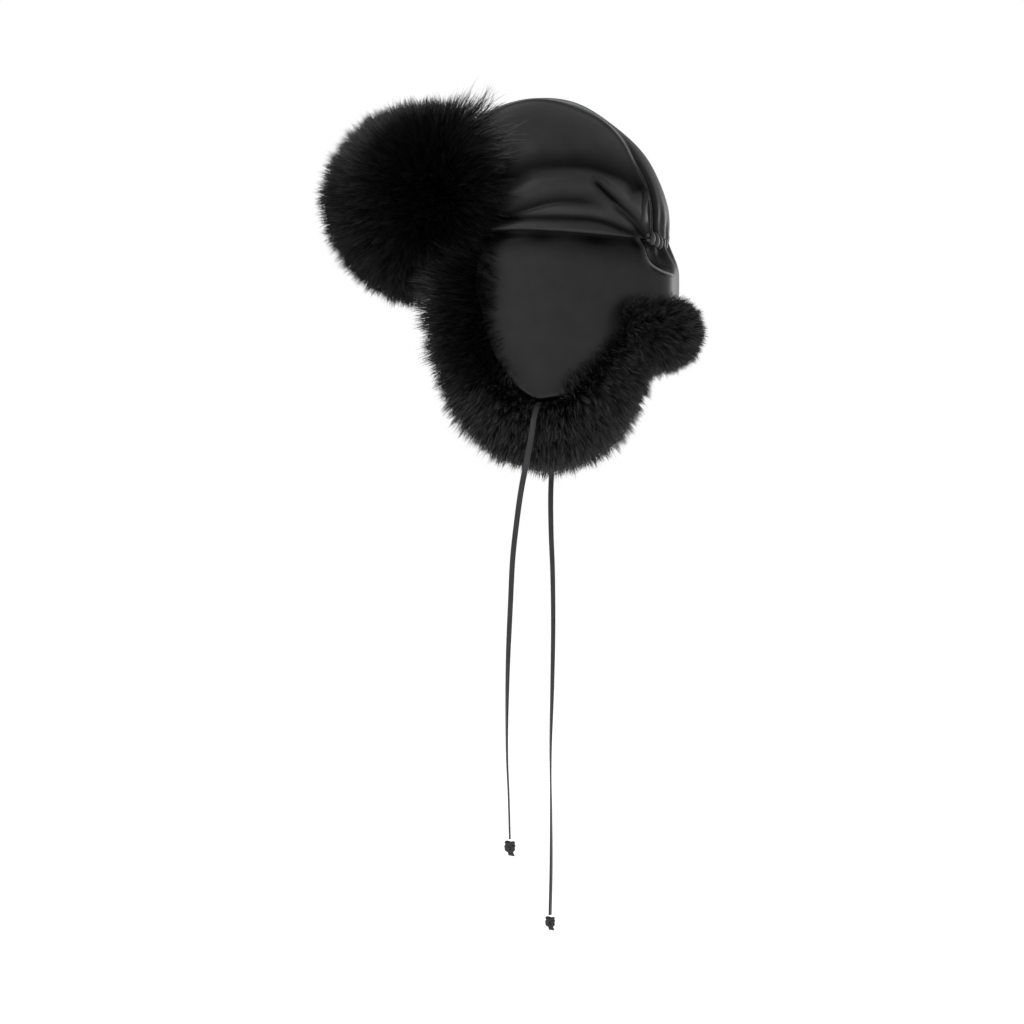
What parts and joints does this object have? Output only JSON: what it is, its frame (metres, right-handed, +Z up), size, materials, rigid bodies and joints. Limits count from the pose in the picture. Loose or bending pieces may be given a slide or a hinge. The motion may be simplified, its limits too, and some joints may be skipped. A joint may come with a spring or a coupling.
{
  "type": "trapper hat",
  "caption": "Padded leather trapper hat with a gathered back, a turned-up fur front flap, fur-lined ear flaps that hang down, a fur-edged neck flap and long leather ties.",
  "frame": {"origin": "centre of the head opening, at the height of the crown's hem", "axes": "+Z up through the top of the crown, -Y the way the wearer looks, +X the wearer's left"},
  "size_m": [0.2377, 0.3427, 0.7844],
  "materials": {
    "smooth_leather": "satin",
    "long_fur": "matte",
    "satin_lining": "satin",
    "wadding": "matte",
    "elastic": "matte",
    "sweatband_leather": "matte"
  },
  "bodies": {
    "crown": {"crown_side_left": "smooth_leather", "crown_side_right": "smooth_leather", "crown_centre_strip": "smooth_leather", "crown_wadding": "wadding", "lining_side_left": "satin_lining", "lining_side_right": "satin_lining", "lining_centre_strip": "satin_lining", "sweatband": "sweatband_leather", "elastic_casing": "smooth_leather", "rear_elastic": "elastic"},
    "front_flap": {"front_flap_leather": "smooth_leather", "front_flap_stiffener": "wadding", "front_flap_fur": "long_fur"},
    "ear_flap_left": {"ear_flap_leather_left": "smooth_leather", "ear_flap_wadding_left": "wadding", "ear_flap_fur_left": "long_fur", "tie_left": "smooth_leather", "tie_knot_left": "smooth_leather"},
    "ear_flap_right": {"ear_flap_leather_right": "smooth_leather", "ear_flap_wadding_right": "wadding", "ear_flap_fur_right": "long_fur", "tie_right": "smooth_leather", "tie_knot_right": "smooth_leather"},
    "neck_flap": {"neck_flap_leather": "smooth_leather", "neck_flap_wadding": "wadding", "neck_flap_fur": "long_fur"}
  },
  "joints": [
    {"name": "front_flap_fold", "type": "hinge", "parent": "crown", "child": "front_flap", "pos_m": [0, -0.1135, 0], "axis": [1, 0, 0], "range_deg": [0, 90]},
    {"name": "ear_flap_left_fold", "type": "hinge", "parent": "crown", "child": "ear_flap_left", "pos_m": [0.08669, 0, 0], "axis": [0, -1, 0], "range_deg": [0, 150]},
    {"name": "ear_flap_right_fold", "type": "hinge", "parent": "crown", "child": "ear_flap_right", "pos_m": [-0.08669, 0, 0], "axis": [0, 1, 0], "range_deg": [0, 150]},
    {"name": "neck_flap_fold", "type": "hinge", "parent": "crown", "child": "neck_flap", "pos_m": [0, 0.11117, -0.004], "axis": [1, 0, 0], "range_deg": [0, 150]}
  ]
}
